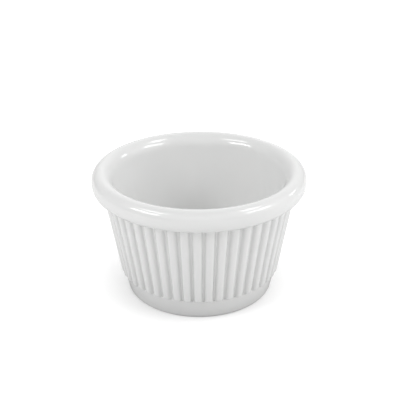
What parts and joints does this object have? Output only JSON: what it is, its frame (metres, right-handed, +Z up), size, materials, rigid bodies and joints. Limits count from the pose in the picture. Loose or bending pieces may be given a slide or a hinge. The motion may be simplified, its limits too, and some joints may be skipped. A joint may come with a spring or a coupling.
{
  "type": "ramekin",
  "caption": "Small white ramekin: a tapered cup with upright ribs, a rolled rim and a plain foot band, for sauces, dips and single portions.",
  "frame": {"origin": "middle of the foot, on the surface that the cup stands on", "axes": "+Z up out of the mouth, along the cup's axis; a rib is centred on -Y"},
  "size_m": [0.081, 0.081, 0.0487],
  "materials": {
    "white_gloss": "smooth moulded gloss, white"
  },
  "bodies": {
    "root": {"ramekin_body": "white_gloss"}
  },
  "joints": []
}
